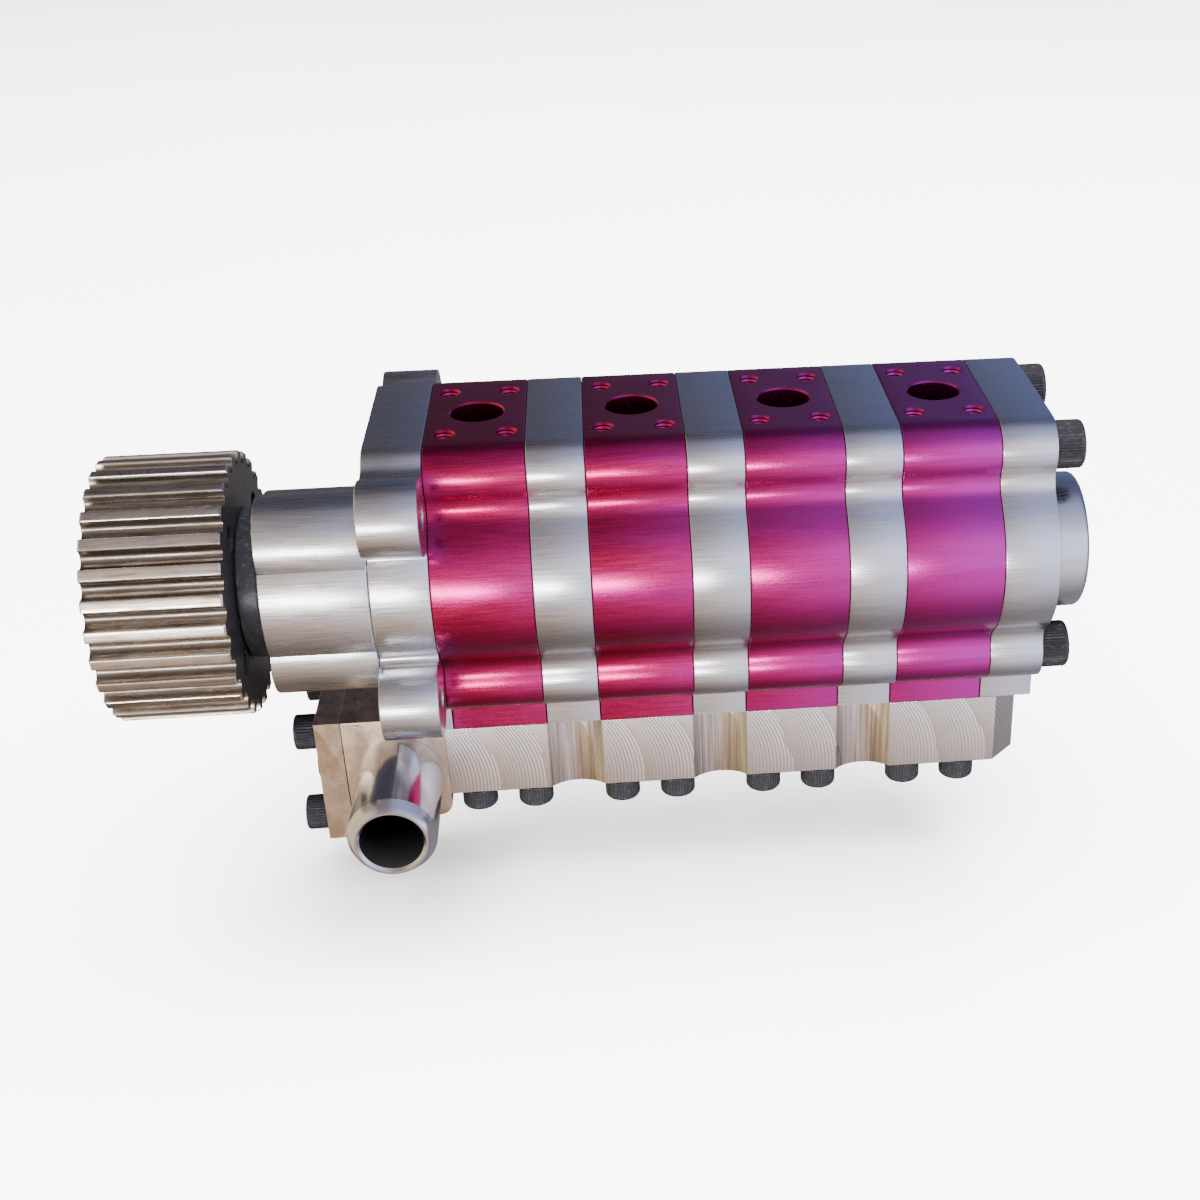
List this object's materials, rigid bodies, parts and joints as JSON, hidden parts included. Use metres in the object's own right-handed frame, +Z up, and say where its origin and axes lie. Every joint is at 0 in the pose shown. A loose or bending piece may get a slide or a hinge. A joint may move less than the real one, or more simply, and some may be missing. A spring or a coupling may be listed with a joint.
{
  "type": "multi-stage gear oil pump",
  "caption": "Belt-driven multi-stage gear oil pump: stacked anodised pump sections between aluminium plates, toothed pulley, eared front cover, discharge manifold and outlet tube.",
  "frame": {"origin": "on the drive shaft's axis, in the plane of the front cover's mounting face", "axes": "+X along the shafts from the pulley to the rear, +Y from the drive shaft to the idler shaft, +Z up through the inlet faces"},
  "size_m": [0.2573, 0.1022, 0.1205],
  "materials": {
    "anodised_magenta": "fine-milled, magenta anodised",
    "brushed_aluminium": "fine brushed",
    "milled_aluminium": "fly-cut, with arc-shaped tool marks",
    "turned_aluminium": "turned, bright",
    "passivated_steel": "straw-coloured passivated plating",
    "black_oxide_steel": "black oxide",
    "ground_steel": "ground",
    "seal_rubber": "matte"
  },
  "bodies": {
    "pump_housing": {"front_cover": "brushed_aluminium", "pump_section_1": "anodised_magenta", "pump_section_2": "anodised_magenta", "pump_section_3": "anodised_magenta", "pump_section_4": "anodised_magenta", "separator_1": "brushed_aluminium", "separator_2": "brushed_aluminium", "separator_3": "brushed_aluminium", "end_cover": "brushed_aluminium", "rear_bearing": "ground_steel", "rear_cap": "brushed_aluminium", "nose_housing": "turned_aluminium", "nose_screw_1": "black_oxide_steel", "nose_screw_2": "black_oxide_steel", "nose_screw_3": "black_oxide_steel", "shaft_seal": "seal_rubber", "front_bearing": "ground_steel", "discharge_manifold": "milled_aluminium", "manifold_end_plate": "milled_aluminium", "plate_screw_1": "black_oxide_steel", "plate_screw_2": "black_oxide_steel", "plate_screw_3": "black_oxide_steel", "plate_screw_4": "black_oxide_steel", "manifold_screw_01": "black_oxide_steel", "manifold_screw_02": "black_oxide_steel", "manifold_screw_03": "black_oxide_steel", "manifold_screw_04": "black_oxide_steel", "manifold_screw_05": "black_oxide_steel", "manifold_screw_06": "black_oxide_steel", "manifold_screw_07": "black_oxide_steel", "manifold_screw_08": "black_oxide_steel", "manifold_screw_09": "black_oxide_steel", "manifold_screw_10": "black_oxide_steel", "manifold_screw_11": "black_oxide_steel", "manifold_screw_12": "black_oxide_steel", "manifold_screw_13": "black_oxide_steel", "manifold_screw_14": "black_oxide_steel", "manifold_screw_15": "black_oxide_steel", "manifold_screw_16": "black_oxide_steel", "outlet_tube": "turned_aluminium", "through_bolt_1": "black_oxide_steel", "through_bolt_2": "black_oxide_steel", "through_bolt_3": "black_oxide_steel", "through_bolt_4": "black_oxide_steel"},
    "drive_rotor": {"drive_shaft": "ground_steel", "drive_gear_1": "ground_steel", "drive_gear_2": "ground_steel", "drive_gear_3": "ground_steel", "drive_gear_4": "ground_steel", "belt_pulley": "passivated_steel", "pulley_hub": "black_oxide_steel", "pulley_washer": "ground_steel", "pulley_bolt": "black_oxide_steel"},
    "idler_rotor": {"idler_shaft": "ground_steel", "idler_gear_1": "ground_steel", "idler_gear_2": "ground_steel", "idler_gear_3": "ground_steel", "idler_gear_4": "ground_steel"}
  },
  "joints": [
    {"name": "drive_spin", "type": "hinge", "parent": "pump_housing", "child": "drive_rotor", "pos_m": [0, 0, 0], "axis": [1, 0, 0], "continuous": true},
    {"name": "idler_spin", "type": "hinge", "parent": "pump_housing", "child": "idler_rotor", "pos_m": [0, 0.033, 0], "axis": [1, 0, 0], "continuous": true}
  ],
  "couplings": [
    {"joint": "idler_spin", "follows": "drive_spin", "ratio": -1}
  ]
}
